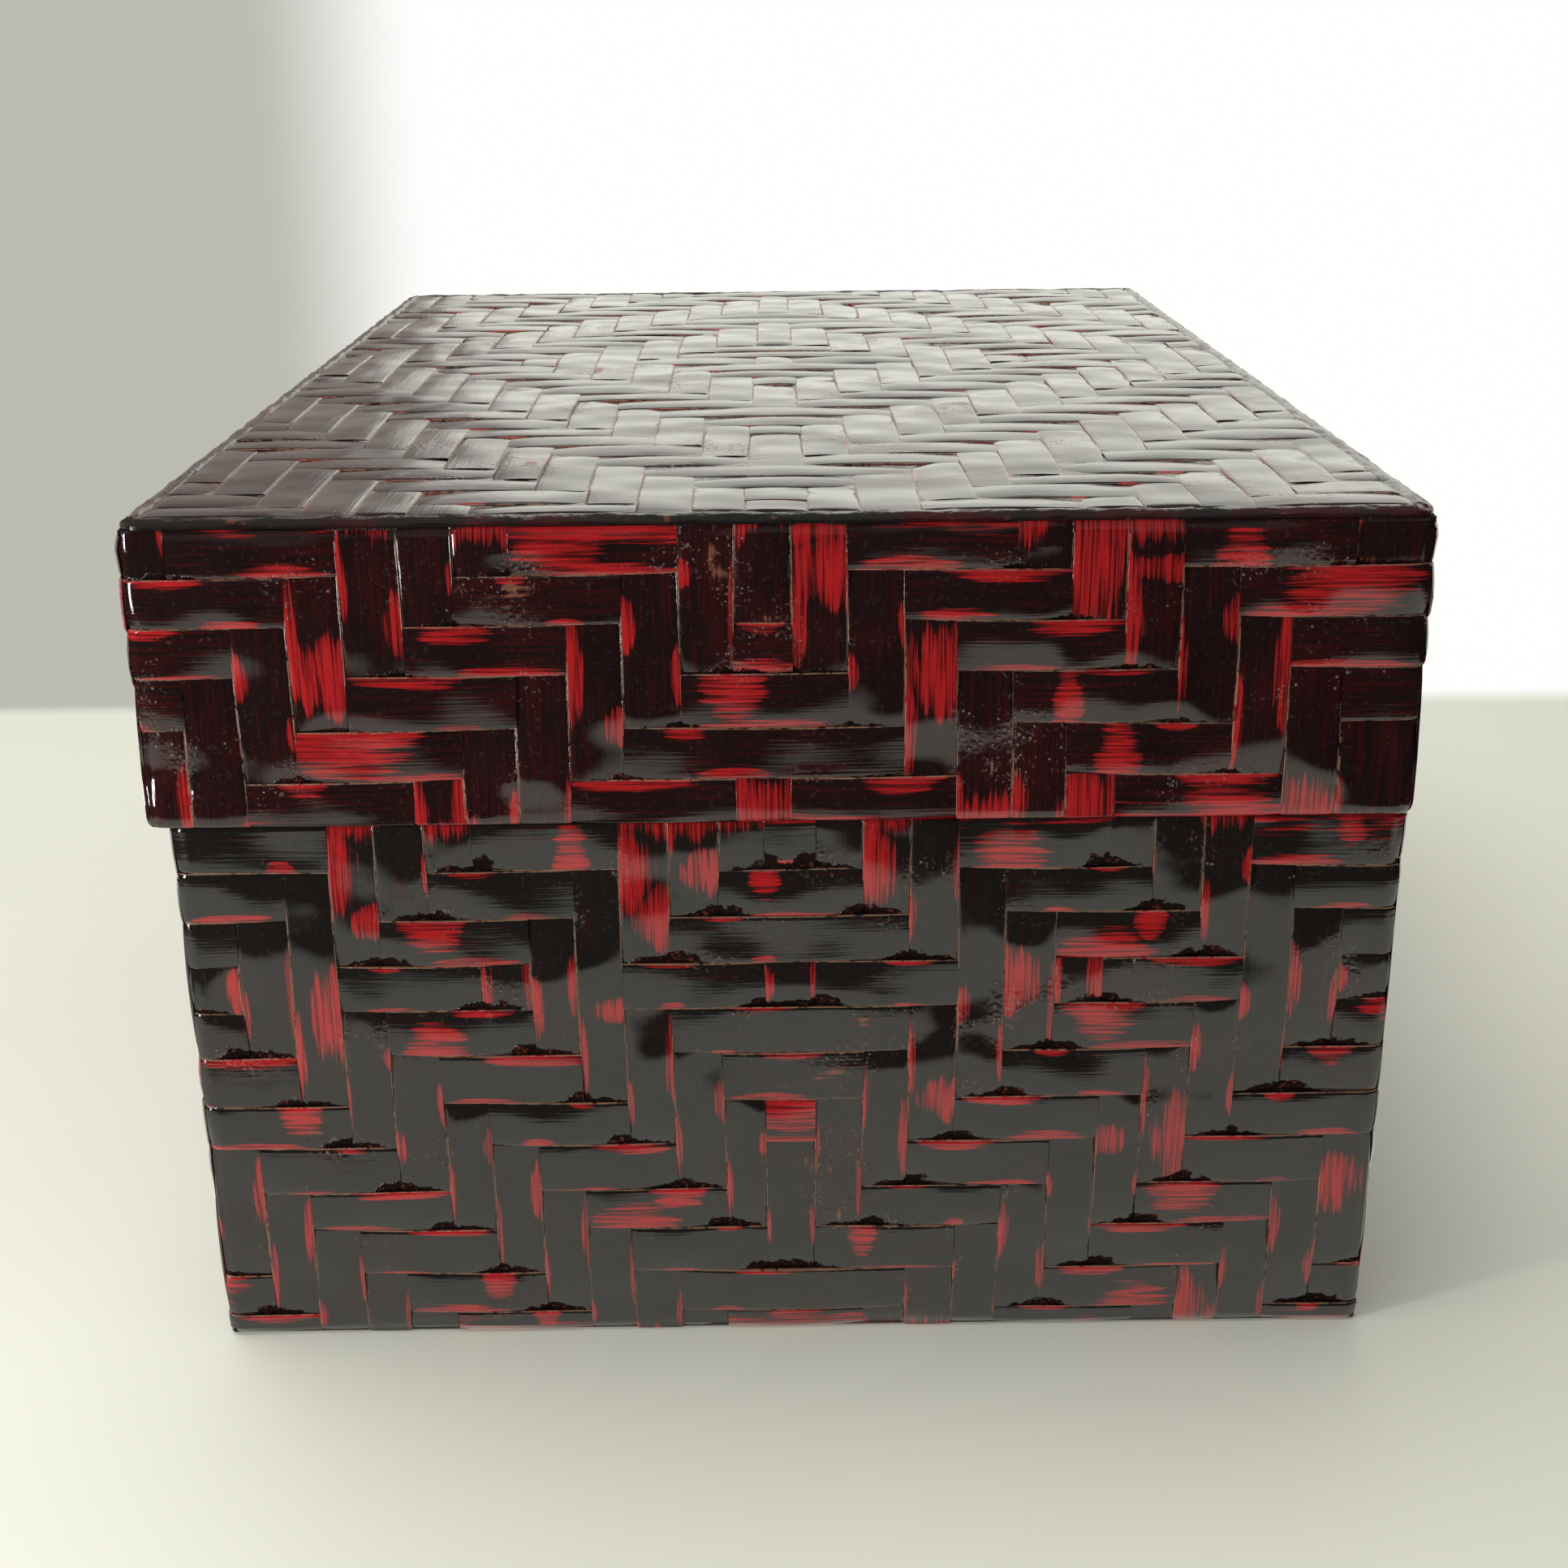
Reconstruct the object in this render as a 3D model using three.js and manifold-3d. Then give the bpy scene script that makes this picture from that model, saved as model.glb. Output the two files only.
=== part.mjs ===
// Woven bamboo box with a lift-off lid, lacquered over a thin wooden carcass.
// Millimetres, +Z up. The origin is the middle of the lid's outline, on the table; the front faces -Y.
//
// The box is two carcasses of rabbeted boards. Four mitred collar strips stand inside the base and
// reach into the lid, so the lid drops over them and lifts straight off. Every outside face of the
// walls and the lid's top wears a mat of split bamboo, woven three over and three under around a
// centre strip, which gives nested diamonds.

import * as THREE from 'three';
import { mergeVertices } from 'three/addons/utils/BufferGeometryUtils.js';
import Module from 'manifold-3d';

const wasm = await Module();
wasm.setup();

// Overall sizes
const BASE_WIDTH = 177; // left to right, over the crests of the weave
const BASE_DEPTH = 247; // front to back, over the crests of the weave
const BASE_HEIGHT = 84.5; // table to rim
const LID_HEIGHT = 44.2; // lower lip to the crests on top
const SEAM = 0.3; // slit between the rim and the lid's lip

// Boards
const WALL = 4; // side boards of base and lid
const FLOOR = 4; // bottom board of the base
const TOP = 4; // top board of the lid
const STEP = 2; // depth of every rabbet
const GLUE = 0.2; // paste between glued pieces

// Collar that locates the lid
const COLLAR = 2.4; // thickness of a strip
const COLLAR_BELOW = 14; // glued length below the rim
const COLLAR_RISE = 8; // free length above the rim
const COLLAR_CHAMFER = 0.8; // lead-in on its outer top edge
const TIGHT_PLAY = 0.3; // right side, where the lid leans on the collar
const LOOSE_PLAY = 2.7; // left side
const DEPTH_PLAY = 1.5; // front and back

// Bamboo mats, all levels measured from the mat's back
const GROOVE = 1; // where neighbouring strips meet
const WARP_CROWN = 1; // strips that run up the walls, and front to back on top
const WEFT_CROWN = 1.2; // strips that run around the walls, and left to right on top
const SHOULDER = 0.7; // slope along a strip's long edges
const WARP_RAMP = 1.2; // slope where a strip dives under its neighbour
const WEFT_RAMP = 1.9;
const REPEAT = 6; // three strips over, three under

const BASE_WARP_PITCH = 7; // strip centre to strip centre on the base's walls
const LID_WARP_PITCH = 7.6; // on the lid's walls and top, which are woven of wider strips
const WALL_WEFT_PITCH = 7.4;
const TOP_WEFT_PITCH = 8.2;
const BASE_ROWS_ABOVE_CENTRE = 3; // rows between the rim and the diamonds' centre row
const LID_ROWS_BELOW_CENTRE = 0; // the lid's diamonds are centred on its lowest row
const TOP_ROWS_BEFORE_CENTRE = 16; // rows between the front edge and the centre row
const LEAST_ROW = 0.2; // share of the pitch that is left at the foot before it makes a row of its own
const LEAST_CREST = 0.2; // share of a float's width and length that its slopes leave flat

// Lacquer-filled borders: how far in from the edge they start, how high the edge itself lies, and how
// far it leans outwards for each millimetre of level. A lean of 1 is a mitre against the next mat.
const MITRED_BORDER = { inset: 1.4, level: 1.7, lean: 1 };
const FOOT_BORDER = { inset: 1.2, level: 0.5, lean: 0 };
const RIM_BORDER = { inset: 0.9, level: 1.1, lean: 0 };
const LIP_BORDER = { inset: 1.2, level: 1, lean: 0 };

// Heights and half sizes that follow from them
const matThickness = GROOVE + Math.max(WARP_CROWN, WEFT_CROWN);
const lidZ = BASE_HEIGHT + SEAM;
const topMatZ = lidZ + LID_HEIGHT - matThickness;
const baseX = BASE_WIDTH / 2 - matThickness - GLUE;
const baseY = BASE_DEPTH / 2 - matThickness - GLUE;
const collarX = baseX - WALL - GLUE;
const collarY = baseY - WALL - GLUE;
const lidX = collarX + (TIGHT_PLAY + LOOSE_PLAY) / 2 + WALL;
const lidY = collarY + DEPTH_PLAY + WALL;
const baseShift = (LOOSE_PLAY - TIGHT_PLAY) / 2;

// Materials
const bambooLacquer = { color: 0x4a1216, roughness: 0.22, metalness: 0 };
const topLacquer = { color: 0x3a1a1b, roughness: 0.18, metalness: 0 };
const boardLacquer = { color: 0x1c1312, roughness: 0.35, metalness: 0 };

// Small helpers between three.js geometries and solids

function solid(geometry) {
  const bare = geometry.clone();
  bare.deleteAttribute('normal');
  bare.deleteAttribute('uv');
  const merged = mergeVertices(bare, 1e-4);
  const vertProperties = new Float32Array(merged.attributes.position.array);
  const triVerts = new Uint32Array(merged.index.array);
  return new wasm.Manifold(new wasm.Mesh({ numProp: 3, vertProperties, triVerts }));
}

function surface(body) {
  const mesh = body.getMesh();
  const geometry = new THREE.BufferGeometry();
  geometry.setAttribute('position', new THREE.BufferAttribute(new Float32Array(mesh.vertProperties), 3));
  geometry.setIndex(new THREE.BufferAttribute(new Uint32Array(mesh.triVerts), 1));
  geometry.computeVertexNormals();
  return geometry;
}

function block([x0, x1], [y0, y1], [z0, z1]) {
  const box = new THREE.BoxGeometry(x1 - x0, y1 - y0, z1 - z0);
  return solid(box.translate((x0 + x1) / 2, (y0 + y1) / 2, (z0 + z1) / 2));
}

function prism(points, length) {
  const outline = new THREE.Shape(points.map(([x, y]) => new THREE.Vector2(x, y)));
  return new THREE.ExtrudeGeometry(outline, { depth: length, bevelEnabled: false });
}

function named(name, geometry, look) {
  const mesh = new THREE.Mesh(geometry, new THREE.MeshStandardMaterial(look));
  mesh.name = name;
  return mesh;
}

// Carcass: four walls rabbeted at the corners, and a panel let into a rabbet on one side

function carcass(prefix, panelName, half, height, panel) {
  const [x, y] = half;
  const walls = [0, height];
  const inner = [x - WALL, y - WALL];
  const seat = panel.atTop ? [height - panel.thickness - GLUE, height] : [0, panel.thickness + GLUE];
  const seatCut = block([-inner[0] - STEP, inner[0] + STEP], [-inner[1] - STEP, inner[1] + STEP], seat);

  const face = block([-x, x], [-y, -inner[1]], walls)
    .subtract(block([-x, -inner[0] + GLUE], [-y + STEP, 0], walls))
    .subtract(block([inner[0] - GLUE, x], [-y + STEP, 0], walls))
    .subtract(seatCut);
  const reach = y - STEP - GLUE;
  const side = block([inner[0], x], [-reach, reach], walls).subtract(seatCut);

  const lap = STEP - GLUE;
  const panelHeight = panel.atTop ? [seat[0] + GLUE, height] : [0, panel.thickness];
  const board = block([-inner[0] - lap, inner[0] + lap], [-inner[1] - lap, inner[1] + lap], panelHeight);

  const group = new THREE.Group();
  group.add(named(`${prefix}_front_board`, surface(face), boardLacquer));
  const back = named(`${prefix}_back_board`, surface(face), boardLacquer);
  back.rotation.z = Math.PI;
  group.add(back);
  group.add(named(`${prefix}_right_board`, surface(side), boardLacquer));
  const left = named(`${prefix}_left_board`, surface(side), boardLacquer);
  left.rotation.z = Math.PI;
  group.add(left);
  group.add(named(panelName, surface(board), boardLacquer));
  return group;
}

// Collar strip: its section runs along X, and a trapezium cuts both ends to a mitre

function collarStrip(name, halfLength, distance, turn) {
  const bottom = -COLLAR_BELOW;
  const top = COLLAR_RISE;
  const section = [
    [0, bottom],
    [COLLAR, bottom],
    [COLLAR, top],
    [COLLAR_CHAMFER, top],
    [0, top - COLLAR_CHAMFER],
  ];
  const along = prism(section, 2 * halfLength);
  along.rotateX(Math.PI / 2).rotateZ(Math.PI / 2).translate(-halfLength, 0, 0);

  const end = halfLength - GLUE / 2;
  const plan = [
    [-end, 0],
    [end, 0],
    [end - COLLAR, COLLAR],
    [-end + COLLAR, COLLAR],
  ];
  const mitre = prism(plan, top - bottom).translate(0, 0, bottom);

  const strip = named(name, surface(solid(along).intersect(solid(mitre))), boardLacquer);
  strip.geometry.translate(0, -distance, 0);
  strip.rotation.z = turn;
  return strip;
}

function collar() {
  const group = new THREE.Group();
  group.add(collarStrip('collar_front', collarX, collarY, 0));
  group.add(collarStrip('collar_right', collarY, collarX, Math.PI / 2));
  group.add(collarStrip('collar_back', collarX, collarY, Math.PI));
  group.add(collarStrip('collar_left', collarY, collarX, -Math.PI / 2));
  group.position.z = BASE_HEIGHT;
  return group;
}

// Weave: which strip lies on top of a cell, counted in rings around the centre of the diamonds

function weftOnTop(column, row, mat) {
  const ring = (Math.abs(column - mat.centreColumn) + Math.abs(row - mat.centreRow)) % REPEAT;
  return ring >= 1 && ring <= REPEAT / 2;
}

// Runs of neighbouring cells along one line of the weave for which the test holds

function runs(count, test) {
  const found = [];
  for (let cell = 0; cell < count; cell += 1) {
    if (!test(cell)) continue;
    const last = found.at(-1);
    if (last && last.end === cell) last.end += 1;
    else found.push({ start: cell, end: cell + 1 });
  }
  return found;
}

function cellBorders(from, to, count) {
  return Array.from({ length: count + 1 }, (_, k) => from + ((to - from) * k) / count);
}

// Rows of a wall: full ones from the upper edge down, and a cut one at the foot

function rowsFromEdge(low, high, edge, pitch) {
  const full = Math.floor((edge - low) / pitch - LEAST_ROW);
  const between = Array.from({ length: full }, (_, k) => edge - (full - k) * pitch);
  return [low, ...between, high];
}

// Triangles that join a row of points to the two ends of a shorter parallel line

function fan(triangles, row, near, far) {
  const middle = Math.floor((row.length - 1) / 2);
  for (let k = 0; k < row.length - 1; k += 1) {
    triangles.push([row[k], row[k + 1], k < middle ? near : far]);
  }
  triangles.push([row[middle], far, near]);
}

// One float: a strip's flat back between two dives, with sloping edges down to the grooves

function float([lowCuts, highCuts], [low, high], crown, steepRamp, point) {
  const triangles = [];
  const [first, last] = [lowCuts[0], lowCuts.at(-1)];
  const most = (1 - LEAST_CREST) / 2;
  const ramp = Math.min(steepRamp, most * (last - first));
  const shoulder = Math.min(SHOULDER, most * (high - low));
  const [start, end] = [first + ramp, last - ramp];
  const crest = GROOVE + crown;
  const [a, b] = [point(start, low + shoulder, crest), point(end, low + shoulder, crest)];
  const [c, d] = [point(end, high - shoulder, crest), point(start, high - shoulder, crest)];
  const lower = lowCuts.map((u) => point(u, low, GROOVE));
  const upper = highCuts.map((u) => point(u, high, GROOVE)).reverse();
  fan(triangles, lower, a, b);
  fan(triangles, upper, c, d);
  triangles.push([lower.at(-1), upper[0], c], [lower.at(-1), c, b]);
  triangles.push([upper.at(-1), lower[0], a], [upper.at(-1), a, d]);
  triangles.push([a, b, c], [a, c, d]);
  return triangles;
}

// The grooves need a point where two of them cross only if the four cells around it aren't all alike

function isCorner(column, row, xs, ys, mat) {
  if (column === 0 || row === 0 || column === xs.length - 1 || row === ys.length - 1) return true;
  const around = [[column - 1, row - 1], [column, row - 1], [column - 1, row], [column, row]];
  const tops = around.map(([c, r]) => weftOnTop(c, r, mat));
  return tops.includes(true) && tops.includes(false);
}

function weaveTriangles(mat, xs, ys) {
  const triangles = [];
  const rows = ys.length - 1;
  const columns = xs.length - 1;
  const across = (run, row) => xs.filter((_, column) => (
    column >= run.start && column <= run.end && isCorner(column, row, xs, ys, mat)
  ));
  const along = (run, column) => ys.filter((_, row) => (
    row >= run.start && row <= run.end && isCorner(column, row, xs, ys, mat)
  ));
  for (let row = 0; row < rows; row += 1) {
    for (const run of runs(columns, (column) => weftOnTop(column, row, mat))) {
      const cuts = [across(run, row), across(run, row + 1)];
      const band = [ys[row], ys[row + 1]];
      triangles.push(...float(cuts, band, WEFT_CROWN, WEFT_RAMP, (u, v, w) => [u, v, w]));
    }
  }
  for (let column = 0; column < columns; column += 1) {
    for (const run of runs(rows, (row) => !weftOnTop(column, row, mat))) {
      const cuts = [along(run, column), along(run, column + 1)];
      const band = [xs[column], xs[column + 1]];
      const swapped = float(cuts, band, WARP_CROWN, WARP_RAMP, (u, v, w) => [v, u, w]);
      triangles.push(...swapped.map(([p, q, r]) => [p, r, q]));
    }
  }
  return triangles;
}

// Outer edges of a mat at a given level

function edgesAt(mat, level) {
  return {
    x: mat.halfBack + mat.side.lean * level,
    low: mat.y0 - mat.bottom.lean * level,
    high: mat.y1 + mat.top.lean * level,
  };
}

// Border and back of a mat

function borderTriangles(mat, xs, ys) {
  const triangles = [];
  const [low, high] = [ys[0], ys.at(-1)];
  const inner = (x, y) => [x, y, GROOVE];

  const foot = edgesAt(mat, mat.bottom.level);
  const bottomLine = [-foot.x, xs[0], xs.at(-1), foot.x].map((x) => [x, foot.low, mat.bottom.level]);
  const head = edgesAt(mat, mat.top.level);
  const topLine = [head.x, xs.at(-1), xs[0], -head.x].map((x) => [x, head.high, mat.top.level]);
  const side = edgesAt(mat, mat.side.level);
  const rightLine = [low, high].map((y) => [side.x, y, mat.side.level]);
  const leftLine = [high, low].map((y) => [-side.x, y, mat.side.level]);

  const strip = (line, near, far) => {
    const mirrored = [];
    fan(mirrored, line, near, far);
    triangles.push(...mirrored.map(([p, q, r]) => [p, r, q]));
  };
  strip(xs.map((x) => inner(x, low)), bottomLine[1], bottomLine[2]);
  strip(ys.map((y) => inner(xs.at(-1), y)), rightLine[0], rightLine[1]);
  strip(xs.map((x) => inner(x, high)).reverse(), topLine[1], topLine[2]);
  strip(ys.map((y) => inner(xs[0], y)).reverse(), leftLine[0], leftLine[1]);

  const corners = [
    [inner(xs[0], low), leftLine[1], bottomLine[0], bottomLine[1]],
    [inner(xs.at(-1), low), bottomLine[2], bottomLine[3], rightLine[0]],
    [inner(xs.at(-1), high), rightLine[1], topLine[0], topLine[1]],
    [inner(xs[0], high), topLine[2], topLine[3], leftLine[0]],
  ];
  for (const [p, q, r, s] of corners) triangles.push([p, q, r], [p, r, s]);

  const flat = edgesAt(mat, 0);
  const back = [
    [-flat.x, flat.low, 0],
    [flat.x, flat.low, 0],
    [flat.x, flat.high, 0],
    [-flat.x, flat.high, 0],
  ];
  const walls = [
    [back[0], back[1], ...bottomLine.slice().reverse()],
    [back[1], back[2], topLine[0], rightLine[1], rightLine[0], bottomLine[3]],
    [back[2], back[3], ...topLine.slice().reverse()],
    [back[3], back[0], bottomLine[0], leftLine[1], leftLine[0], topLine[3]],
  ];
  for (const wall of walls) {
    for (let k = 1; k < wall.length - 1; k += 1) triangles.push([wall[0], wall[k], wall[k + 1]]);
  }
  triangles.push([back[0], back[2], back[1]], [back[0], back[3], back[2]]);
  return triangles;
}

// Whole mat in its own frame: X to the right and Y up as seen from outside, Z outwards

function wovenMat(mat) {
  const sideX = edgesAt(mat, mat.side.level).x - mat.side.inset;
  const columns = 2 * Math.max(1, Math.round((2 * sideX / mat.warpPitch - 1) / 2)) + 1;
  const low = edgesAt(mat, mat.bottom.level).low + mat.bottom.inset;
  const edge = edgesAt(mat, mat.top.level).high;
  const high = edge - mat.top.inset;
  const xs = cellBorders(-sideX, sideX, columns);
  const evenRows = Math.max(1, Math.round((high - low) / mat.weftPitch));
  const ys = mat.rowsFromEdge
    ? rowsFromEdge(low, high, edge, mat.weftPitch)
    : cellBorders(low, high, evenRows);
  const centred = { ...mat, centreColumn: (columns - 1) / 2, centreRow: mat.centreRow(ys.length - 1) };
  const triangles = [...weaveTriangles(centred, xs, ys), ...borderTriangles(mat, xs, ys)];

  const geometry = new THREE.BufferGeometry();
  geometry.setAttribute('position', new THREE.Float32BufferAttribute(triangles.flat(2), 3));
  const merged = mergeVertices(geometry, 1e-4);
  merged.computeVertexNormals();
  return merged;
}

// A wall's four mats, each standing on its own face and mitred against the next

function wallMats(prefix, half, mat) {
  const group = new THREE.Group();
  const sides = [
    { name: 'front', across: half[0], out: half[1], turn: 0 },
    { name: 'right', across: half[1], out: half[0], turn: Math.PI / 2 },
    { name: 'back', across: half[0], out: half[1], turn: Math.PI },
    { name: 'left', across: half[1], out: half[0], turn: -Math.PI / 2 },
  ];
  for (const side of sides) {
    const halfBack = side.across + GLUE / 2;
    const geometry = wovenMat({ ...mat, halfBack, side: MITRED_BORDER, rowsFromEdge: true });
    const mesh = named(`${prefix}_${side.name}_mat`, geometry, bambooLacquer);
    mesh.rotation.x = Math.PI / 2;
    mesh.position.y = -side.out - GLUE;
    const turned = new THREE.Group();
    turned.rotation.z = side.turn;
    turned.add(mesh);
    group.add(turned);
  }
  return group;
}

function base() {
  const group = new THREE.Group();
  const panel = { thickness: FLOOR, atTop: false };
  group.add(carcass('base', 'base_floor_board', [baseX, baseY], BASE_HEIGHT, panel));
  group.add(collar());
  group.add(wallMats('base', [baseX, baseY], {
    y0: 0,
    y1: BASE_HEIGHT,
    bottom: FOOT_BORDER,
    top: RIM_BORDER,
    warpPitch: BASE_WARP_PITCH,
    weftPitch: WALL_WEFT_PITCH,
    centreRow: (rows) => rows - 1 - BASE_ROWS_ABOVE_CENTRE,
  }));
  group.position.x = baseShift;
  return group;
}

function lidTopMat() {
  const geometry = wovenMat({
    halfBack: lidX + GLUE / 2,
    y0: -lidY - GLUE / 2,
    y1: lidY + GLUE / 2,
    side: MITRED_BORDER,
    bottom: MITRED_BORDER,
    top: MITRED_BORDER,
    warpPitch: LID_WARP_PITCH,
    weftPitch: TOP_WEFT_PITCH,
    centreRow: () => TOP_ROWS_BEFORE_CENTRE,
  });
  const mesh = named('lid_top_mat', geometry, topLacquer);
  mesh.position.z = topMatZ - lidZ;
  return mesh;
}

function lid() {
  const group = new THREE.Group();
  const height = topMatZ - GLUE - lidZ;
  const panel = { thickness: TOP, atTop: true };
  group.add(carcass('lid', 'lid_top_board', [lidX, lidY], height, panel));
  group.add(wallMats('lid', [lidX, lidY], {
    y0: 0,
    y1: height + GLUE / 2,
    bottom: LIP_BORDER,
    top: MITRED_BORDER,
    warpPitch: LID_WARP_PITCH,
    weftPitch: WALL_WEFT_PITCH,
    centreRow: () => LID_ROWS_BELOW_CENTRE,
  }));
  group.add(lidTopMat());
  group.position.z = lidZ;
  return group;
}

const box = new THREE.Group();
box.add(base());
box.add(lid());

export default box;
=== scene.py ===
# %% [markdown]
# # A woven bamboo box under lacquer
#
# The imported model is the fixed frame: it says how large every piece is and where it sits. This
# lesson dresses it. The wooden boards keep their solids and get a finish. The nine woven mats are
# modelled again, strip by strip, because the way each strip dives under its neighbour is what the
# eye reads as basketry.

import math
import random

import bmesh
import bpy
import numpy as np
from mathutils import Matrix, Vector


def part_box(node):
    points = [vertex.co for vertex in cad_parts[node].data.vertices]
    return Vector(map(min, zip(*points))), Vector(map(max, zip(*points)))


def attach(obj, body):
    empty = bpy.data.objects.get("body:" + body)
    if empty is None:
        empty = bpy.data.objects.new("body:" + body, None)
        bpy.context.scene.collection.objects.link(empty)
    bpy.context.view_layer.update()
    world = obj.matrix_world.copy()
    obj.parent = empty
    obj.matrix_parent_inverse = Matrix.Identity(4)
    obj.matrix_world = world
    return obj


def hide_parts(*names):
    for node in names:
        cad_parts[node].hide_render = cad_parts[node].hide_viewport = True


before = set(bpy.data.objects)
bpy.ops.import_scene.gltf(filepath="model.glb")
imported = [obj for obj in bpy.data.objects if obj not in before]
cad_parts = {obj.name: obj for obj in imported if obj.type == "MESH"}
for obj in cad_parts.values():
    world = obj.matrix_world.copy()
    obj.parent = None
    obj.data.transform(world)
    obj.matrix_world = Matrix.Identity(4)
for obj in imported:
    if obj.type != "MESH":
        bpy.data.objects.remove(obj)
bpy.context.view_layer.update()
MM = 0.001

# %% [markdown]
# ## The camera
#
# The box was photographed from close by, a little above the lid, almost square to its short side.
# A wide view from near makes the strong taper of the lid. The camera could be placed by eye, but
# the eight corners that show fix it well, so its place, its tilt and its lens come from them.

# %% Camera
CAMERA_PLACE = (-0.0011, -0.3962, 0.1901)
CAMERA_PITCH = 20.13
CAMERA_YAW = -0.33
CAMERA_ROLL = -0.57
LENS = 47.57

camera_data = bpy.data.cameras.new("camera")
camera_data.lens = LENS
camera_data.sensor_width = 36
camera = bpy.data.objects.new("camera", camera_data)
bpy.context.scene.collection.objects.link(camera)
turn = Matrix.Rotation(math.radians(CAMERA_YAW), 4, "Z")
tilt = Matrix.Rotation(math.radians(90 - CAMERA_PITCH), 4, "X")
roll = Matrix.Rotation(math.radians(CAMERA_ROLL), 4, "Z")
camera.matrix_world = Matrix.Translation(CAMERA_PLACE) @ turn @ tilt @ roll
bpy.context.scene.camera = camera
bpy.context.scene.view_settings.view_transform = "Standard"
print("camera looks down by", CAMERA_PITCH, "degrees")

# %% [markdown]
# ## Writing shaders as sums
#
# A finish such as rubbed lacquer is mostly arithmetic on a few patterns. Dragging Math nodes
# around is slow to read back, so a small class wraps a socket and lets Python's own signs add the
# nodes. Every other node comes from one method, `node`, which sets a node's settings first and its
# sockets after that.

# %% Socket arithmetic
class Flow:
    """A socket of a material's nodes that can be used in sums."""

    def __init__(self, tree, socket):
        self.tree = tree
        self.socket = socket

    def sum(self, operation, *values):
        return node(self.tree, "ShaderNodeMath", {"operation": operation}, dict(enumerate(values)))

    def __add__(self, other):
        return self.sum("ADD", self, other)

    def __radd__(self, other):
        return self.sum("ADD", other, self)

    def __sub__(self, other):
        return self.sum("SUBTRACT", self, other)

    def __rsub__(self, other):
        return self.sum("SUBTRACT", other, self)

    def __mul__(self, other):
        return self.sum("MULTIPLY", self, other)

    def __rmul__(self, other):
        return self.sum("MULTIPLY", other, self)

    def __truediv__(self, other):
        return self.sum("DIVIDE", self, other)

    def __abs__(self):
        return self.sum("ABSOLUTE", self)

    def __or__(self, other):
        return self.sum("MAXIMUM", self, other)

    def over(self, low, high):
        """0 below low, 1 above high, and a smooth step between."""
        settings = {"interpolation_type": "SMOOTHSTEP"}
        sockets = {"Value": self, "From Min": low, "From Max": high}
        return node(self.tree, "ShaderNodeMapRange", settings, sockets)

    def part(self, axis):
        """One number of a vector."""
        return node(self.tree, "ShaderNodeSeparateXYZ", {}, {"Vector": self}, axis)


def node(tree, kind, settings, sockets, output=0):
    """Adds one node: its settings first, then the values or links of its sockets."""
    made = tree.nodes.new(kind)
    for name, value in settings.items():
        setattr(made, name, value)
    for name, value in sockets.items():
        if isinstance(value, Flow):
            tree.links.new(value.socket, made.inputs[name])
        else:
            made.inputs[name].default_value = value
    return made if output is None else Flow(tree, made.outputs[output])


# %% [markdown]
# A few nodes come back all the time: noise, a blend of two colours, a bump. Each gets a function
# with a plain name, so that a finish further down reads as what it does.

# %% Everyday nodes
def outlet(tree, made, name):
    """One of the outputs of a node that was made with output None."""
    return Flow(tree, made.outputs[name])


def vector(tree, x, y, z):
    return node(tree, "ShaderNodeCombineXYZ", {}, {"X": x, "Y": y, "Z": z})


def object_place(tree):
    return node(tree, "ShaderNodeTexCoord", {}, {}, "Object")


def noise(tree, place, scale=1.0, detail=2.0):
    sockets = {"Vector": place, "Scale": scale, "Detail": detail, "Roughness": 0.5}
    return node(tree, "ShaderNodeTexNoise", {"noise_dimensions": "3D"}, sockets)


def mixed(tree, amount, first, second):
    """The first colour where amount is 0, the second where it is 1."""
    def colour(value):
        return value if isinstance(value, Flow) else (*value, 1)

    # A Mix node has sockets for numbers, vectors and colours. These are the ones for colours
    sockets = {"Factor": amount, 6: colour(first), 7: colour(second)}
    return node(tree, "ShaderNodeMix", {"data_type": "RGBA"}, sockets, 2)


def bumped(tree, height, distance=MM, strength=1.0):
    sockets = {"Strength": strength, "Distance": distance, "Height": height}
    return node(tree, "ShaderNodeBump", {}, sockets)


def new_material(name):
    material = bpy.data.materials.new(name)
    material.use_nodes = True
    shader = material.node_tree.nodes["Principled BSDF"]
    return material, material.node_tree, shader


def feed(tree, shader, **values):
    """Links or sets the shader's own sockets; an underscore stands for a space in their names."""
    for name, value in values.items():
        socket = shader.inputs[name.replace("_", " ")]
        if isinstance(value, Flow):
            tree.links.new(value.socket, socket)
        else:
            socket.default_value = value


def end_in_blend(tree, amount, shader, other):
    """Ends a material in its own shader where amount is 0 and in another where it is 1."""
    sockets = {0: amount, 1: outlet(tree, shader, 0), 2: other}
    blend = node(tree, "ShaderNodeMixShader", {}, sockets)
    tree.links.new(blend.socket, tree.nodes["Material Output"].inputs["Surface"])


# %% [markdown]
# ## Red lacquer rubbed through black
#
# The strips were coated red, then black, and rubbed down along the grain. Black stays where a
# strip lies low. Red comes through where it stands proud of its neighbours, and that is beside the
# places where a neighbouring strip ends and dives: there a lens of red lies along the long edge,
# solid at the edge and broken into dry streaks further in. The bare bamboo shows as a hairline of
# tan at the very edge, where the cloth has rubbed hardest.
#
# The pattern follows the strip and not the box, so it can't be read from Object coordinates. Every
# strip carries attributes instead: how far along and across it a point lies, where on its two long
# edges the neighbours end, how deep it has dived, and three random numbers of its own.

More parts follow.
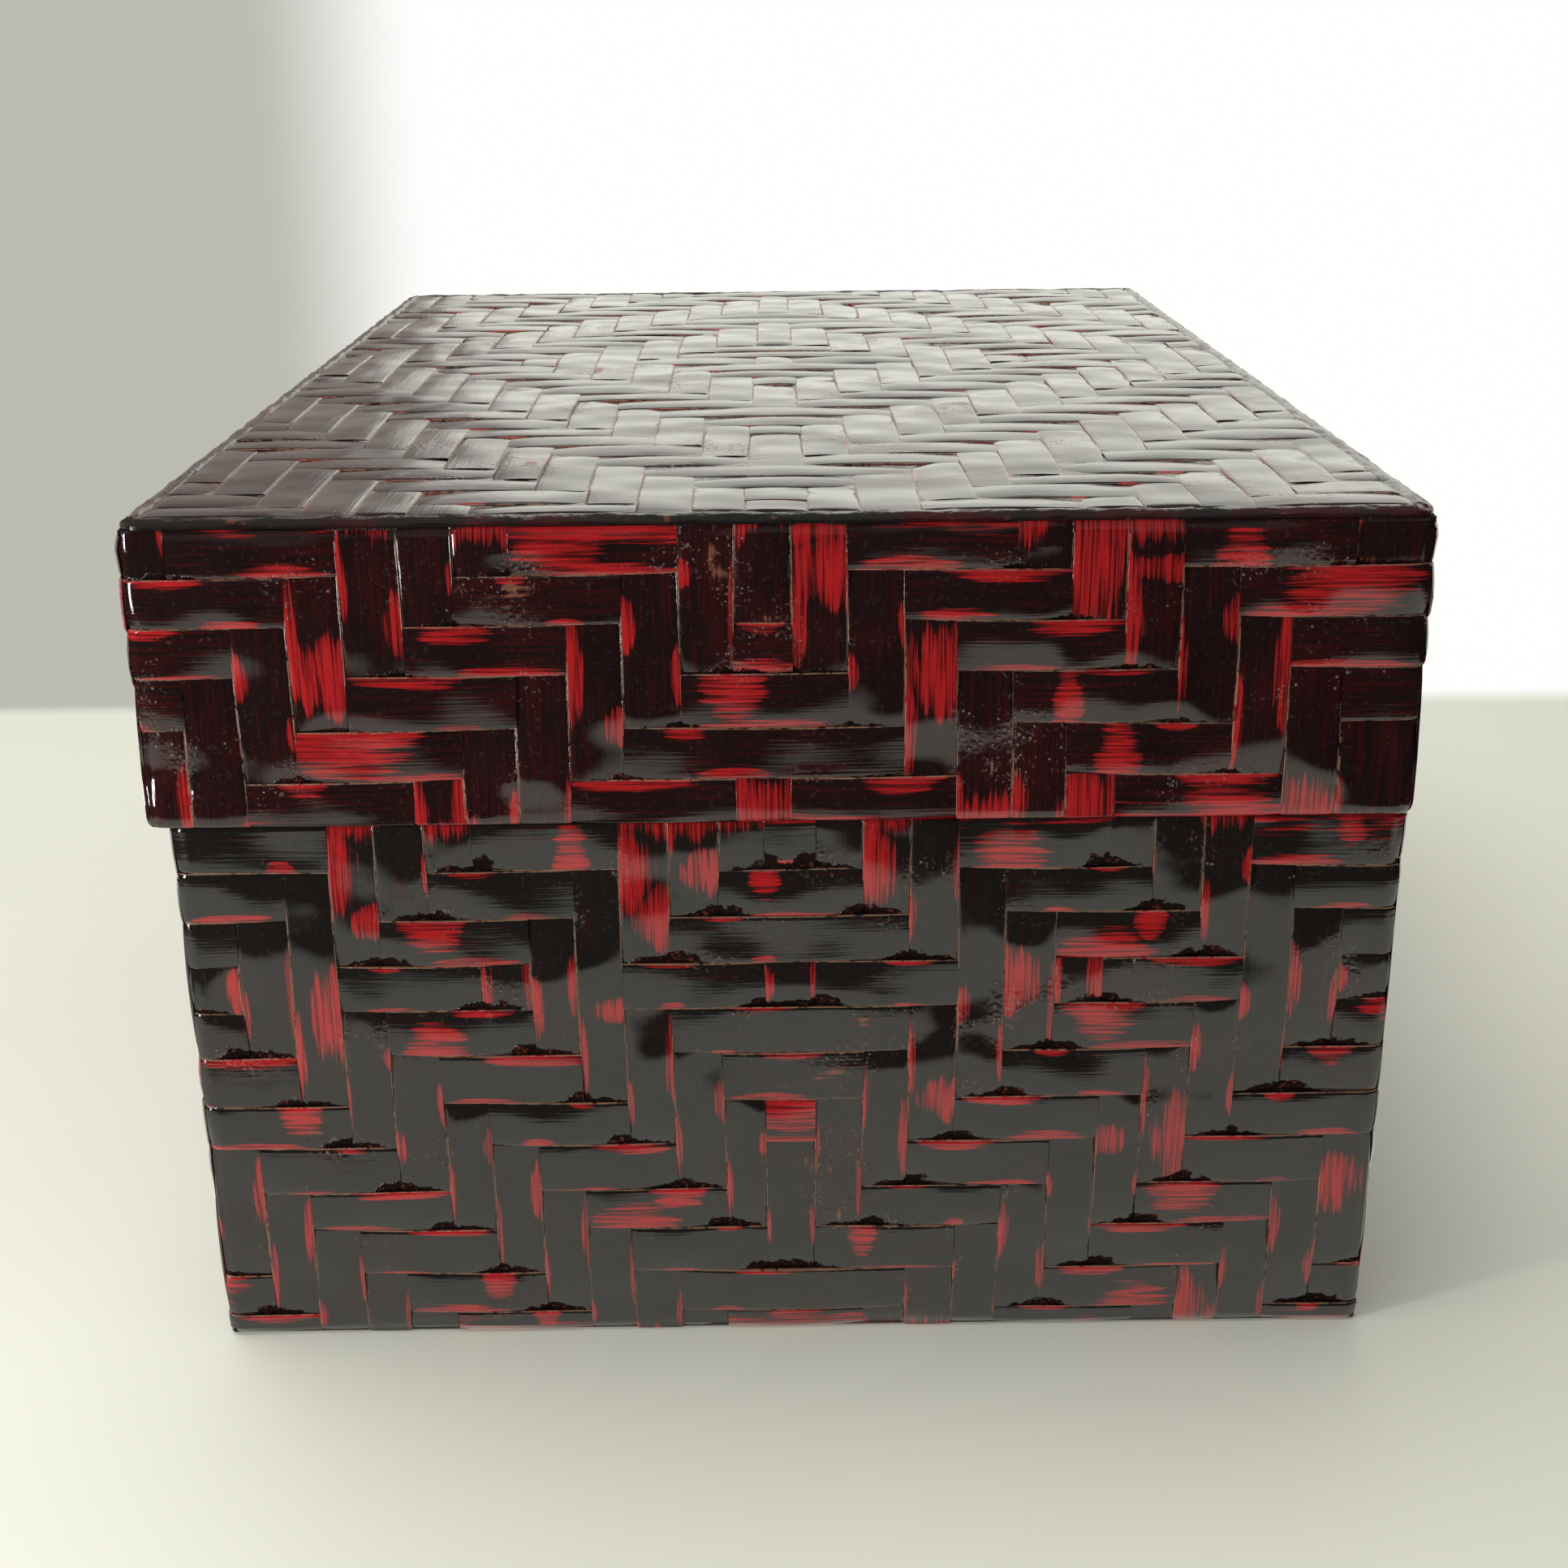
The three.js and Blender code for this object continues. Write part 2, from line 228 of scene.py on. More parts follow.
# %% Colours of the strips
BLACK = (0.0112, 0.0092, 0.0082)
RED_BLACK = (0.0118, 0.0060, 0.0058)
MAROON = (0.034, 0.0054, 0.0062)
RED = (0.39, 0.012, 0.014)
DEEP_RED = (0.065, 0.006, 0.007)
TAN = (0.34, 0.17, 0.10)
RUST = (0.26, 0.085, 0.040)
POCKET_BROWN = (0.010, 0.0045, 0.0040)
GRIT_BROWN = (0.11, 0.028, 0.014)
# Dust, and partly a painted glint on pimples and specks
DUST_AND_PAINTED_GLINT = (0.42, 0.33, 0.31)

# %% [markdown]
# All that follows asks the same few things of a point: where on its strip it lies, and how
# streaky, cloudy and grainy the lacquer is there. They are read once and get plain names. Streaks
# are noise drawn out along the strip: coarse ones as a dry brush leaves them, fine ones as the
# grain does. Each strip reads them from a place of its own, so no two match.

# %% Readings
class Readings:
    """What a strip's attributes and the patterns in its lacquer say at a point."""

    def __init__(self, tree):
        self.tree = tree
        strip, chance, nearby = (self.carried(name) for name in ("strip", "chance", "nearby"))
        self.dive = self.carried("dive", "Fac")
        self.along, self.across, self.fallen = (strip.part(axis) for axis in "XYZ")
        self.low_joint, self.high_joint, self.to_rim = (nearby.part(axis) for axis in "XYZ")
        self.one, self.two, self.three = one, two, three = [chance.part(axis) for axis in "XYZ"]
        self.coarse = self.streaks((0.07, 2.2), (one * 31, two * 17, three * 23), 1)
        self.fine = self.streaks((0.10, 11), (two * 19, three * 13, one * 29), 3)
        self.place = object_place(tree)
        self.cloud = noise(tree, self.place, scale=75, detail=3)
        self.ragged = noise(tree, self.place, scale=420, detail=4)
        self.grain = noise(tree, self.place, scale=1500, detail=2)

    def carried(self, name, kind="Vector"):
        return node(self.tree, "ShaderNodeAttribute", {"attribute_name": name}, {}, kind)

    def streaks(self, scale, own, detail):
        """Noise drawn out along the strip, read from a place that own picks."""
        x, y = self.along * scale[0] + own[0], self.across * scale[1] + own[1]
        return noise(self.tree, vector(self.tree, x, y, own[2]), detail=detail)


# %% [markdown]
# A red lens is half an ellipse on the strip's long edge, beside the joint of its neighbours.
# Streaks are added to it before it is cut to a mask, and so its rim breaks up along the grain.
# Near the upper and lower edge of a wall the cloth rubbed harder, and there some strips are red
# right across.

# %% Red lenses
def rubbed_through(at, reach, depth):
    """How hard the cloth rubbed. Above zero the red begins to show."""

    def lens(side, joint, first, second):
        """1 at the middle of a lens, on the strip's edge, 0 at its rim and less outside."""
        lengthways = (at.along - joint) / ((first * 1.3 + 0.35) * reach)
        deep = (second * 0.8 + 0.25 + second.over(0.78, 0.84) * 1.7) * depth
        sideways = (1 - at.across * side) / deep
        return 1 - lengthways * lengthways - sideways * sideways

    inside = lens(-1, at.low_joint, at.one, at.three) | lens(1, at.high_joint, at.two, at.one)
    inside = inside | ((at.one * 1.4 - 0.5) * (0.3 + depth) - at.to_rim * 0.22)
    return inside * 1.3 + (at.coarse - 0.5) * 1.7 + (at.fine - 0.5) * 1.4 - 0.12


# %% [markdown]
# Where the corners of two strips dive, brown grit fills the pocket. Around it, and in clouds over
# the whole box, the lacquer has dried rough, with pimples of trapped dust. Pimples and specks are
# painted pale pinkish grey: partly the dust's own colour, partly a painted glint. A Voronoi pattern
# gives one pimple to a cell, and two random numbers of the cell say how large it is and whether it
# is there at all.

# %% Pockets and pimples
POCKET_FROM = 0.12  # mm that a corner has dived where its pocket begins
LEDGE = 0.14  # mm down a strip's side to where grit begins


def pockets(tree, at, grit):
    """Where there is a pocket, and the colour of what fills it."""
    pocket = (at.dive * (1 + (at.ragged - 0.5) * 3.5 * grit)).over(POCKET_FROM, POCKET_FROM + 0.03)
    pocket = pocket | (at.fallen + (at.ragged - 0.5) * 0.1).over(LEDGE - 0.02, LEDGE + 0.02)
    filling = (at.grain * 0.6 + at.ragged * 0.5).over(0.61, 0.71)
    return pocket, mixed(tree, filling, POCKET_BROWN, GRIT_BROWN)


def pimples(tree, at, grit):
    """Where the lacquer dried rough, its pimples, and the distance from a cell's middle."""
    near_joint = (abs(at.across) - 0.5) * 0.12
    rough = (at.dive * 0.6 + at.cloud + near_joint).over(0.66 - 0.14 * grit, 0.88 - 0.14 * grit)
    sockets = {"Vector": at.place, "Scale": 1250.0}
    cells = node(tree, "ShaderNodeTexVoronoi", {"feature": "F1"}, sockets, None)
    away, random_colour = outlet(tree, cells, "Distance"), outlet(tree, cells, "Color")
    size = random_colour.part("Y") * 0.24 + 0.12
    there = (random_colour.part("X") * 0.5 + rough * 0.5).over(0.56, 0.60)
    return rough, (1 - (away / size).over(0.45, 1.0)) * there, away


# %% [markdown]
# Now the coats go on in the order of the real ones: black and maroon, the red that shows through
# them, the worn edges and spots, and last the dust with its painted glints. Gloss and relief follow
# from the same masks.

# %% Strip lacquer
def strip_lacquer(name, black, reach, depth, maroon, wear, grit, swell):
    """Lacquer for woven strips.

    black is the colour of its upper coat. reach is a red lens's half length in mm, and depth its
    depth in half widths. maroon, wear and grit say how much of each shows, and swell how thickly
    the lacquer has pooled, in mm.
    """
    material, tree, shader = new_material(name)
    at = Readings(tree)

    rubbed = rubbed_through(at, reach, depth)
    red_mask = rubbed.over(0.0, 0.45)
    vivid_mask = (rubbed * 0.5 + (at.fine - 0.5) * 3.0 + 0.16).over(0.0, 0.9)
    ground_mask = (at.fine * 0.8 + at.cloud * 0.5).over(0.72 - 0.12 * maroon, 0.92 - 0.12 * maroon)
    ground = mixed(tree, ground_mask, black, MAROON)
    colour = mixed(tree, red_mask, ground, mixed(tree, vivid_mask, DEEP_RED, RED))

    # Hairlines at the long edges, broken along the strip, and a few spots worn to the bamboo
    broken_place = vector(tree, at.along * 0.6, at.three * 41, at.across * 0.4 + at.two * 7)
    broken = noise(tree, broken_place, detail=4)
    near_edge = (abs(at.across) + (broken - 0.5) * 0.06).over(0.960, 0.980)
    edge = near_edge * broken.over(0.45 - 0.08 * wear, 0.56 - 0.08 * wear)
    colour = mixed(tree, edge * 0.7, colour, TAN)
    bare = at.cloud + at.coarse * 0.3 + (at.fine - 0.5) * 0.1
    bare = bare.over(0.915 - 0.04 * wear, 0.95 - 0.04 * wear)
    colour = mixed(tree, bare * 0.7, colour, RUST)

    pocket, gritty = pockets(tree, at, grit)
    rough, pimple, away = pimples(tree, at, grit)
    dust_and_glint_speck = at.grain.over(0.62, 0.68) * (rough * 0.8 + 0.1)
    # Pale dots on pimples and specks: partly dust, partly a painted glint
    colour = mixed(tree, pimple * 0.45 | dust_and_glint_speck * 0.25, colour, DUST_AND_PAINTED_GLINT)

    roughness = 0.06 + rough * 0.11 + red_mask * 0.06 + edge * 0.25 + bare * 0.2
    relief = at.fine * 0.030 + at.coarse * 0.03 + at.cloud * 0.14
    relief = relief + at.grain * (rough * 0.05 + 0.003) + (1 - away) * rough * 0.06 + pimple * 0.28
    relief = relief + at.grain * (pocket * 0.25 + near_edge * 0.20)
    relief = relief + noise(tree, at.place, scale=58, detail=1) * swell
    bump = bumped(tree, relief)
    feed(tree, shader, Base_Color=colour, Roughness=roughness, Normal=bump, IOR=1.6)

    # A pocket has lost its gloss, so a second, dull shader takes over there
    dull_sockets = {"Base Color": gritty, "Roughness": 0.9, "IOR": 1.15, "Normal": bump}
    end_in_blend(tree, pocket, shader, node(tree, "ShaderNodeBsdfPrincipled", {}, dull_sockets))
    return material


# %% [markdown]
# ## Grooves, putty and boards
#
# Between the strips lies the dark, dusty bed that they are glued to. The rim around the lid's top
# is lacquer putty, lumpy where a finger smoothed it. The boards inside never saw the rubbing
# cloth: plain black-brown lacquer over wood, with the brush marks still in it.

# %% Plain finishes
def groove_finish():
    material, tree, shader = new_material("groove_bed")
    grain = noise(tree, object_place(tree), scale=1500, detail=3)
    colour = mixed(tree, grain.over(0.5, 0.7), (0.010, 0.004, 0.004), (0.075, 0.026, 0.016))
    feed(tree, shader, Base_Color=colour, Roughness=0.5, Normal=bumped(tree, grain, 0.3 * MM))
    return material


def putty_lacquer():
    material, tree, shader = new_material("putty_lacquer")
    place = object_place(tree)
    cloud = noise(tree, place, scale=90, detail=4)
    grain = noise(tree, place, scale=1100, detail=3)
    colour = mixed(tree, cloud.over(0.44, 0.60), BLACK, MAROON)
    colour = mixed(tree, (cloud + grain * 0.25).over(0.74, 0.80), colour, DEEP_RED)
    grit = noise(tree, place, scale=240, detail=4).over(0.68, 0.73)
    colour = mixed(tree, grit, colour, GRIT_BROWN)
    height = cloud * 0.25 + grain * 0.12 + noise(tree, place, scale=300, detail=3) * 0.45
    roughness = 0.12 + grain * 0.14
    feed(tree, shader, Base_Color=colour, Roughness=roughness, Normal=bumped(tree, height), IOR=1.6)
    return material


def board_lacquer():
    material, tree, shader = new_material("board_lacquer")
    place = object_place(tree)
    stretched = node(tree, "ShaderNodeMapping", {}, {"Vector": place, "Scale": (90, 900, 900)})
    brush = noise(tree, stretched, detail=3)
    cloud = noise(tree, place, scale=22, detail=3)
    shade = (brush * 0.6 + cloud * 0.5).over(0.45, 0.75)
    colour = mixed(tree, shade, (0.010, 0.007, 0.006), (0.030, 0.013, 0.010))
    bump = bumped(tree, brush * 0.04 + cloud * 0.1, strength=0.8)
    feed(tree, shader, Base_Color=colour, Roughness=0.22 + cloud * 0.16, Normal=bump, IOR=1.5)
    return material


# %% [markdown]
# Base, lid and lid top share one recipe in three mixtures. The lid is redder than the base and its
# lenses are longer. The lid's top shows hardly any red: its strips lie nearly level, so the cloth
# found no proud edges there.

# %% Finishes
WALL_BASE = strip_lacquer(
    "base_strip_lacquer", BLACK,
    reach=5.4, depth=0.58, maroon=0.2, wear=1.0, grit=0.8, swell=3.2)
WALL_LID = strip_lacquer(
    "lid_strip_lacquer", RED_BLACK,
    reach=6.5, depth=0.90, maroon=1.0, wear=0.8, grit=1.0, swell=4.4)
LID_TOP = strip_lacquer(
    "top_strip_lacquer", RED_BLACK,
    reach=3.5, depth=0.06, maroon=0.7, wear=0.6, grit=0.8, swell=1.4)
GROOVE = groove_finish()
PUTTY = putty_lacquer()
BOARD = board_lacquer()
print("finishes:", [m.name for m in (WALL_BASE, WALL_LID, LID_TOP, GROOVE, PUTTY, BOARD)])

# %% [markdown]
# ## Helpers for working in edit mode
#
# Each piece starts from a primitive at its real size and is shaped in edit mode. With no mouse,
# what to move is chosen by where it lies or how it faces, and `pick` selects by such a test.

# %% Edit-mode helpers
NO_SNAP = 0.001 * MM  # a cut takes over only vertices this near, and passes beside all others


def deselect_all():
    for other in bpy.context.selected_objects:
        other.select_set(False)


def add_block(name, low, high):
    """A cube primitive that fills the space between two corners, in edit-ready state."""
    deselect_all()
    bpy.ops.mesh.primitive_cube_add(size=1)
    piece = bpy.context.object
    piece.name = name
    low, high = Vector(low), Vector(high)
    piece.scale = high - low
    piece.location = (low + high) / 2
    bpy.ops.object.transform_apply(location=True, rotation=True, scale=True)
    return piece


def pick(piece, test, mode="VERT"):
    """Selects, in edit mode, what passes a test on its place, and returns how many."""
    bpy.ops.mesh.select_mode(type=mode)
    bpy.ops.mesh.select_all(action="DESELECT")
    shape = bmesh.from_edit_mesh(piece.data)
    items = {"VERT": shape.verts, "EDGE": shape.edges, "FACE": shape.faces}[mode]
    chosen = [item for item in items if test(item)]
    for item in chosen:
        item.select_set(True)
    shape.select_flush_mode()
    bmesh.update_edit_mesh(piece.data)
    return len(chosen)


def cut_across(axis, places):
    """Cuts the whole mesh by planes square to one axis."""
    normal = [0, 0, 0]
    normal[axis] = 1
    for value in places:
        point = [0, 0, 0]
        point[axis] = value
        bpy.ops.mesh.select_all(action="SELECT")
        bpy.ops.mesh.bisect(plane_co=point, plane_no=normal, threshold=NO_SNAP)


def edit(piece):
    deselect_all()
    piece.select_set(True)
    bpy.context.view_layer.objects.active = piece
    bpy.ops.object.mode_set(mode="EDIT")


def leave():
    bpy.ops.object.mode_set(mode="OBJECT")


# %% [markdown]
# ## One strip, modelled once for each length
#
# A float is the stretch of a strip that shows between two dives. On the box it is an arch: it
# rises from under one neighbour, stands proudest in its middle and goes down again, and its back
# is a little domed. It could be one curve with a bevel profile, but then the ends couldn't sink at
# one corner only, as they do where two strips dive side by side.
#
# So it is a block, cut into rows and columns, with its long edges eased. Shape keys hold its arch,
# its dome and the dive of each corner, and a copy mixes them by what lies next to it in the weave.

# %% Slat
SUNK = 0.35 * MM  # how far a strip reaches below the bed
EASE_WIDTH = 0.22 * MM
EASE_DROP = 0.14 * MM
BACK_LINES = (-0.84, -0.3, 0.3, 0.84)  # lines between the eased edges, in half widths
MIDDLE_ROWS = (0.35, 0.5, 0.65)  # rows across the middle of all but the shortest, by length
SHORT = 10 * MM
DIVE_ROWS = (0.0, 1.0 * MM, 2.6 * MM, 5.0 * MM)  # rows across each end, from the end inwards
TINY = 0.01 * MM


def lower(piece, test, drop):
    """Lowers the vertices of the strip's back that pass a test."""
    if pick(piece, lambda v: v.co.z > 0 and test(v.co)):
        bpy.ops.transform.translate(value=(0, 0, -drop))


def slat(name, length, width, crown):
    """A slat along +X from 0 to length, centred on Y = 0, rising crown above Z = 0.

    Its rows and lines, where it was cut, come back with it.
    """
    half = width / 2
    near_end = [row for row in DIVE_ROWS if row < length / 2]
    between = [length * share for share in MIDDLE_ROWS if length > SHORT]
    rows = [*near_end, *between, *(length - row for row in reversed(near_end))]
    back = [half * share for share in BACK_LINES]
    lines = [-half, -half + EASE_WIDTH, *back, half - EASE_WIDTH, half]

    piece = add_block(name, (0, -half, -SUNK), (length, half, crown))
    edit(piece)
    cut_across(0, rows[1:-1])
    cut_across(1, lines[1:-1])
    for axis, side in ((2, -1), (1, -1), (1, 1), (0, -1), (0, 1)):
        pick(piece, lambda f: f.normal[axis] * side > 0.5, "FACE")
        bpy.ops.mesh.dissolve_faces()
    lower(piece, lambda p: abs(p.y) > half - TINY, EASE_DROP)
    lower(piece, lambda p: abs(abs(p.y) - half + EASE_WIDTH) < TINY, EASE_DROP * 0.2)
    leave()
    return piece, rows, lines


# %% [markdown]
# A corner that dives takes part of the strip along with it. A strip that runs around the box bends
# over a long stretch, and only its corner goes down. One that runs up the wall dips at its very
# end.

# %% Shape keys
# For each kind of strip: the share of the dive at each of the dive rows, and how steeply it fades
# across the strip
DIVES = {"weft": ((1.0, 0.88, 0.64, 0.20), 7), "warp": ((1.0, 0.36, 0.06, 0.0), 1)}
CORNERS = ("start_low", "start_high", "end_low", "end_high")
KEYS = ("arch", "dome", *CORNERS)
LEAST_SHARE = 0.01


def lower_corner(piece, key, kind, rows, lines):
    end, corner = key.split("_")
    shares, power = DIVES[kind]
    length, half = rows[-1], lines[-1]
    for row in rows:
        from_end = row if end == "start" else length - row
        share = np.interp(from_end, DIVE_ROWS, shares, right=0.0)
        for line in lines:
            side = 0.5 + 0.5 * line / half
            drop = share * (1 - side if corner == "low" else side) ** power
            if drop > LEAST_SHARE:
                lower(piece, lambda p: abs(p.x - row) < TINY and abs(p.y - line) < TINY, drop * MM)


def add_keys(piece, kind, rows, lines):
    """Shape keys, each of which lowers the back by a millimetre where it acts most."""
    length, half = rows[-1], lines[-1]
    piece.shape_key_add(name="Basis")
    for number, key in enumerate(KEYS, 1):
        piece.shape_key_add(name=key)
        piece.active_shape_key_index = number
        edit(piece)
        if key == "arch":
            for row in rows:
                drop = abs(2 * row / length - 1) ** 2.2 * MM
                lower(piece, lambda p: abs(p.x - row) < TINY, drop)
        elif key == "dome":
            for line in lines:
                lower(piece, lambda p: abs(p.y - line) < TINY, (line / half) ** 2 * MM)
        else:
            lower_corner(piece, key, kind, rows, lines)
        leave()


# %% [markdown]
# The shapes are read off the template once, as tables of numbers. A copy is then a sum: the plain
# shape, plus so many millimetres of each key.

# %% Reading a template
def key_places(piece, key):
    block = piece.data.shape_keys.key_blocks[key]
    places = np.zeros(len(piece.data.vertices) * 3)
    block.data.foreach_get("co", places)
    return places.reshape(-1, 3)


class Strip:
    """A template's shapes, read once. A move is what one millimetre of a key does."""

    def __init__(self, kind, cells, width, crown):
        self.length = cells * width
        self.width = width
        self.piece, rows, lines = slat(f"{kind}_{cells}", self.length, width, crown)
        add_keys(self.piece, kind, rows, lines)
        self.basis = key_places(self.piece, "Basis")
        self.moves = {key: key_places(self.piece, key) - self.basis for key in KEYS}
        self.raised = self.basis[:, 2] > 0


# %% [markdown]
# ## The weave
#
# Count cells outwards from the centre of a diamond, sideways plus upwards. For rings 1, 2 and 3
# the strip that runs across lies on top, for rings 4, 5 and 6 the one that runs up, and so on by
# sixes. That one rule gives the nested diamonds. A float is a run of cells where the same strip
# stays on top, and the rule gives floats of one, three and five cells.

# %% Weave rule
REPEAT = 6
BEYOND = 5  # cells that are woven past the mat's edge, and cut off later


def crossing_on_top(column, row, centre):
    ring = (abs(column - centre[0]) + abs(row - centre[1])) % REPEAT
    return 1 <= ring <= REPEAT // 2


def runs(first, last, test):
    """Stretches of neighbouring cells that pass a test, as (first, last + 1)."""
    found = []
    for cell in range(first, last):
        if test(cell):
            if found and found[-1][1] == cell:
                found[-1][1] = cell + 1
            else:
                found.append([cell, cell + 1])
    return found


def odd_count(width, pitch):
    return 2 * max(1, math.floor((width / pitch - 1) / 2 + 0.5)) + 1


row_of_floats = runs(-20, 20, lambda column: crossing_on_top(column, 1, (0, 0)))
print("lengths of float in one row:", sorted({last - first for first, last in row_of_floats}))

# %% [markdown]
# ## Laying out a mat
#
# A mat is laid out flat first: X to the right, Y up and Z outwards, as it would lie on a bench.
# The rows of a wall are counted from its upper edge down, so the lowest one is cut short, as on
# the box. Split bamboo is never straight, so the line between two strips wanders a little. Both
# strips read the same line, and so they never part and never overlap.

# %% Mat layout
BED = 0.85 * MM
CREST = 2.2 * MM
WARP_CROWN = 1.12 * MM
WEFT_CROWN = 1.24 * MM
MITRE_LEVEL = 1.7 * MM  # where the mitre between two mats comes out
PITCHES = {"base": (7.0 * MM, 7.4 * MM), "lid": (7.6 * MM, 7.4 * MM), "top": (7.6 * MM, 8.2 * MM)}
UNDER_PUTTY = 1.1 * MM  # how far below its top edge a lid wall's mat is cut for the putty rim
MITRED_INSET = 1.4 * MM
FOOT_INSET = 1.2 * MM
LEAST_ROW = 0.2  # a lowest row needs more than this share of the pitch
SLACK = 3.0 * MM  # how far the outermost strips run past the edge before they are cut
SHIFTS = {"lid_front_mat": -2.2 * MM}  # the weaver didn't centre this one


class Mat:
    """Where a mat's cells lie, in its own flat frame, and how that frame stands in the room."""

    def __init__(self, name, kind, centre_row, right, up, out, seed):
        self.name = name
        self.rng = random.Random(seed)
        self.right, self.up, self.out = Vector(right), Vector(up), Vector(out)
        low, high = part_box(name)
        size = high - low
        self.width = abs(size.dot(self.right))
        self.height = abs(size.dot(self.up))
        thickness = abs(size.dot(self.out))
        self.origin = (low + high) / 2 - self.up * self.height / 2 - self.out * thickness / 2
        self.kind = kind
        self.back = self.width / 2 - MITRE_LEVEL  # half the width of the mat's back
        self.cut = self.height - (UNDER_PUTTY if kind == "lid" else 0.0)
        warp, weft = PITCHES[kind]
        half = self.width / 2 - MITRED_INSET
        self.columns = odd_count(2 * half, warp)
        xs = np.linspace(-half, half, self.columns + 1)
        xs[1:-1] += SHIFTS.get(name, 0.0)
        if kind == "top":
            low, high = MITRED_INSET, self.height - MITRED_INSET
            ys = np.linspace(low, high, round((high - low) / weft) + 1)
        else:
            full = math.floor((self.height - FOOT_INSET) / weft - LEAST_ROW)
            between = [self.height - (full - k) * weft for k in range(full)]
            ys = np.array([FOOT_INSET, *between, self.height])
        self.rows = len(ys) - 1
        self.centre = ((self.columns - 1) / 2, centre_row(self.rows))
        past = 0.0 if kind == "top" else SLACK
        xs[0], xs[-1] = -self.width / 2 - past, self.width / 2 + past
        ys[0], ys[-1] = -past, self.height + past
        self.lines = {True: self.wander(xs, warp), False: self.wander(ys, weft)}

    def wander(self, places, pitch):
        """Place, slant, wave, phase and rate of every line. Those past the edge are straight."""
        before = [places[0] - pitch * k for k in range(BEYOND, 0, -1)]
        after = [places[-1] + pitch * k for k in range(1, BEYOND + 1)]
        lines = []
        for number, place in enumerate([*before, *places, *after]):
            inner = BEYOND < number < BEYOND + len(places) - 1
            free = 1 if inner else 0
            shift = self.rng.gauss(0, 0.20) * MM * free
            slant = self.rng.gauss(0, 0.0032) * free
            wave = self.rng.uniform(0.03, 0.17) * MM * free
            phase, rate = self.rng.uniform(0, 6.28), self.rng.uniform(60, 170)
            lines.append((place + shift, slant, wave, phase, rate))
        return lines

    def line(self, crosses_x, number, at):
        """Where line number lies, at distances along it."""
        place, slant, wave, phase, rate = self.lines[crosses_x][number + BEYOND]
        middle = self.height / 2 if crosses_x else 0
        return place + slant * (at - middle) + wave * np.sin(at * rate + phase)

    def weft_on_top(self, column, row):
        return crossing_on_top(column, row, self.centre)

    def stand(self):
        """The matrix that stands the flat mat on its wall."""
        axes = Matrix((self.right, self.up, self.out)).transposed().to_4x4()
        return Matrix.Translation(self.origin) @ axes


# %% [markdown]
# Where the ends of two strips meet the straight edge of a third, there is a T. Seen from above,
# the corners over such an edge sink most: they leave the gritty lens-shaped pocket that marks
# every step of the diamonds. At the other ends lacquer has filled the corners, and they hardly
# sink. The third strip stands proud at its T, and that is where the red lens sits on its edge.

# %% What lies beside a float
# For each kind of strip: how deep a corner in a pocket dives, how deep a filled one, how much the
# ends are lower than the middle, and how much the long edges are, all in mm
SWELLS = {
    ("base", True): (0.50, 0.03, 0.26, 0.26),
    ("base", False): (0.50, 0.06, 0.42, 0.06),
    ("lid", True): (0.20, 0.04, 0.32, 0.30),
    ("lid", False): (0.24, 0.06, 0.50, 0.08),
    ("top", True): (0.07, 0.02, 0.32, 0.26),
    ("top", False): (0.06, 0.02, 0.16, 0.12),
}
ARCH_OF_CELLS = {1: 0.5, 3: 1.0, 5: 1.2}


def beside(mat, first, last, line, weft, pocket, filled):
    """How a float's corners dive, in mm, and which cell border has a T, low and high."""

    def same(cell, other):
        column, row = (cell, other) if weft else (other, cell)
        return mat.weft_on_top(column, row) == weft

    mix = {}
    ends = []
    middle = (first + last) / 2
    for side, other in (("low", line - 1), ("high", line + 1)):
        if weft:
            at_start = side == "low" and same(first, other) and same(first - 1, other)
            at_end = side == "low" and same(last - 1, other) and same(last, other)
        else:
            at_start, at_end = not same(first - 1, other), False
        mix["start_" + side] = pocket if at_start else filled
        mix["end_" + side] = pocket if at_end else filled
        changes = [c for c in range(first, last + 1) if same(c - 1, other) != same(c, other)]
        ends.append(min(changes, key=lambda c: abs(c - middle), default=None))
    return mix, ends


# %% [markdown]
# Copies share nothing: each gets its own mesh with its own attributes, and all copies of a mat are
# joined into one piece. The keys are mixed as tables of numbers, which keeps so many copies quick.

# %% Lay a strip
SEAM = 0.03 * MM  # half the slit between neighbouring strips
TUCK = 0.12 * MM  # how far an end runs in under the strip that crosses it
FAR_FROM_RIM = 9 * MM


def mixed_shape(mat, strip, first, last, line, weft):
    """A float's shape from its template's keys, how deep it has dived, and its red joints."""
    rng = mat.rng
    pocket, filled, arch, dome = SWELLS[mat.kind, weft]
    mix, ends = beside(mat, first, last, line, weft, pocket, filled)
    mix = {key: depth * rng.uniform(0.75, 1.25) for key, depth in mix.items()}
    mix["arch"] = arch * ARCH_OF_CELLS[last - first] * rng.uniform(0.75, 1.2)
    mix["dome"] = dome * rng.uniform(0.5, 1.4)
    places = strip.basis + sum(strip.moves[key] * size for key, size in mix.items())
    sunk = -sum(strip.moves[key][:, 2] * size for key, size in mix.items() if key in CORNERS)
    share = strip.basis[:, 0] / strip.length
    roll, tip = rng.gauss(0, 0.016), rng.gauss(0, 0.10) * MM
    uneven = strip.basis[:, 1] * roll + (share - 0.5) * tip - rng.uniform(0.04, 0.10) * MM
    places[strip.raised, 2] += uneven[strip.raised]
    return places, sunk, ends


